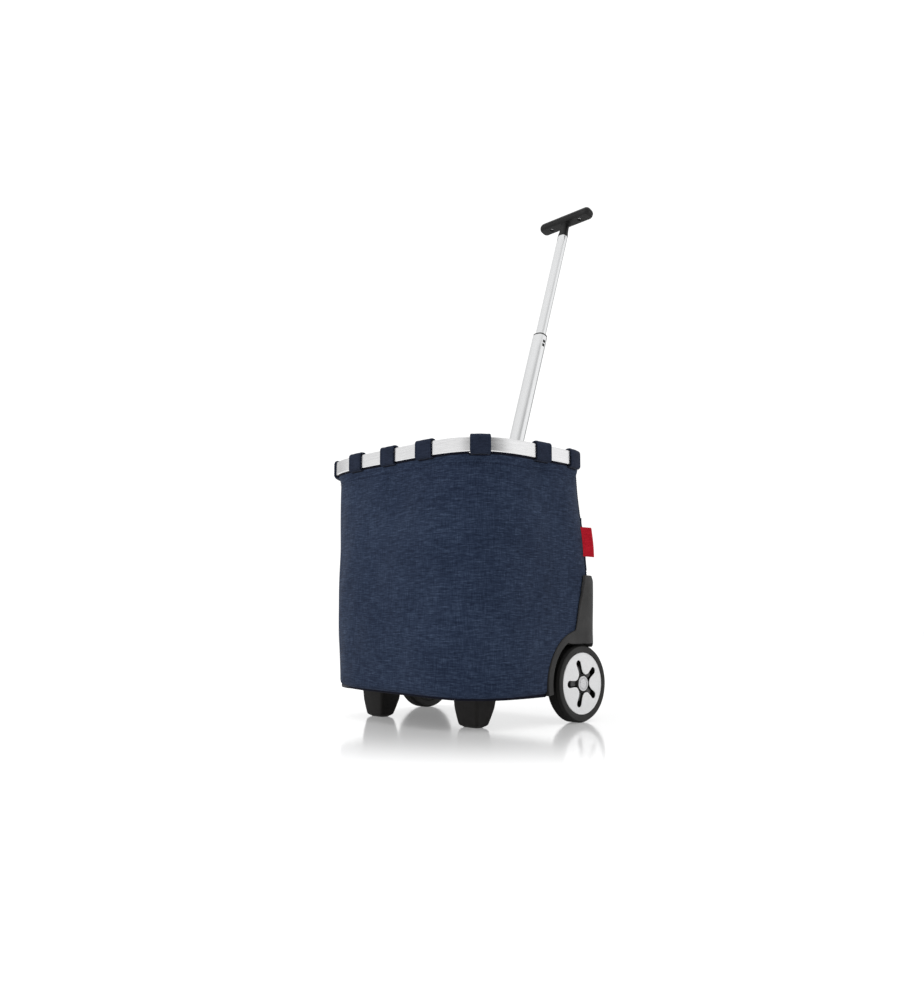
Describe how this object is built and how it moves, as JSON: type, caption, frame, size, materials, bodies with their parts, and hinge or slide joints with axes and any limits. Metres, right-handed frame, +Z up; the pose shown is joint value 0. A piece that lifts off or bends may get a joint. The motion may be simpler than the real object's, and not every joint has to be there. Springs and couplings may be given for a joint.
{
  "type": "shopping trolley on wheels",
  "caption": "Two-wheeled open-top fabric shopping trolley with a rigid metal rim, front feet and a telescopic T-handle for carrying groceries.",
  "frame": {"origin": "on the ground, under the middle of the whole footprint with the handle extended", "axes": "+Z up, +Y towards the wheels and the handle, +X across the width, to the right seen from the front feet side looking to the handle"},
  "size_m": [0.431, 0.5106, 1.0376],
  "materials": {
    "fabric": "woven melange polyester",
    "webbing": "flat webbing",
    "tag_fabric": "woven tape",
    "aluminium": "brushed",
    "bracket_plastic": "fine textured moulding",
    "black_plastic": "satin moulding",
    "silver_plastic": "silver paint",
    "tyre": "matte rubber",
    "board": "fine grain",
    "steel": "zinc plated"
  },
  "bodies": {
    "frame": {"rim_band": "aluminium", "rim_bridge": "black_plastic", "band_rivet_left": "steel", "band_rivet_right": "steel", "pole_sleeve": "aluminium", "pole_socket": "bracket_plastic", "socket_screw_left": "steel", "socket_screw_right": "steel", "bag_wrap_panel": "fabric", "bag_rear_panel": "fabric", "bag_base_panel": "fabric", "base_board": "board", "rear_pocket": "fabric", "seam_tag": "tag_fabric", "wheel_bracket_left": "bracket_plastic", "wheel_bracket_right": "bracket_plastic", "bracket_screw_left": "steel", "bracket_screw_right": "steel", "axle_bolt_left": "steel", "axle_bolt_right": "steel", "axle_ring_left": "steel", "axle_ring_right": "steel", "foot_left": "black_plastic", "foot_right": "black_plastic", "foot_screw_left_a": "steel", "foot_screw_left_b": "steel", "foot_screw_right_a": "steel", "foot_screw_right_b": "steel", "loop_front_left": "webbing", "loop_front_middle": "webbing", "loop_front_right": "webbing", "loop_front_corner_left": "webbing", "loop_front_corner_right": "webbing", "loop_left_middle": "webbing", "loop_right_middle": "webbing", "loop_left_rear": "webbing", "loop_right_rear": "webbing", "loop_rear_left": "webbing", "loop_rear_right": "webbing"},
    "wheel_left": {"tyre_left": "tyre", "wheel_core_left": "black_plastic", "wheel_disc_left": "silver_plastic", "wheel_cap_left": "silver_plastic"},
    "wheel_right": {"tyre_right": "tyre", "wheel_core_right": "black_plastic", "wheel_disc_right": "silver_plastic", "wheel_cap_right": "silver_plastic"},
    "handle_lower": {"lower_tube": "aluminium", "tube_bushing": "black_plastic"},
    "handle_upper": {"upper_tube": "aluminium", "upper_tube_plug": "black_plastic", "grip_lower": "black_plastic", "grip_upper": "black_plastic", "grip_screw_left": "steel", "grip_screw_right": "steel"},
    "release": {"release_button": "black_plastic", "release_rod": "steel"},
    "latch": {"lock_pin": "steel"}
  },
  "joints": [
    {"name": "wheel_left_spin", "type": "hinge", "parent": "frame", "child": "wheel_left", "pos_m": [-0.19, 0.0112, 0.065], "axis": [1, 0, 0], "continuous": true},
    {"name": "wheel_right_spin", "type": "hinge", "parent": "frame", "child": "wheel_right", "pos_m": [0.19, 0.0112, 0.065], "axis": [1, 0, 0], "continuous": true},
    {"name": "handle_lower_slide", "type": "slide", "parent": "frame", "child": "handle_lower", "axis": [0, 0.3123, 0.95], "range_m": [-0.285, 0]},
    {"name": "handle_upper_slide", "type": "slide", "parent": "handle_lower", "child": "handle_upper", "axis": [0, 0.3123, 0.95], "range_m": [-0.245, 0]},
    {"name": "release_press", "type": "slide", "parent": "handle_upper", "child": "release", "axis": [0, -0.3123, -0.95], "range_m": [0, 0.0025], "stiffness_N_per_m": 900, "springref_m": -0.003},
    {"name": "latch_slide", "type": "slide", "parent": "handle_upper", "child": "latch", "axis": [-1, 0, 0], "range_m": [0, 0.00225]}
  ],
  "couplings": [
    {"joint": "latch_slide", "follows": "release_press", "ratio": 0.9}
  ]
}
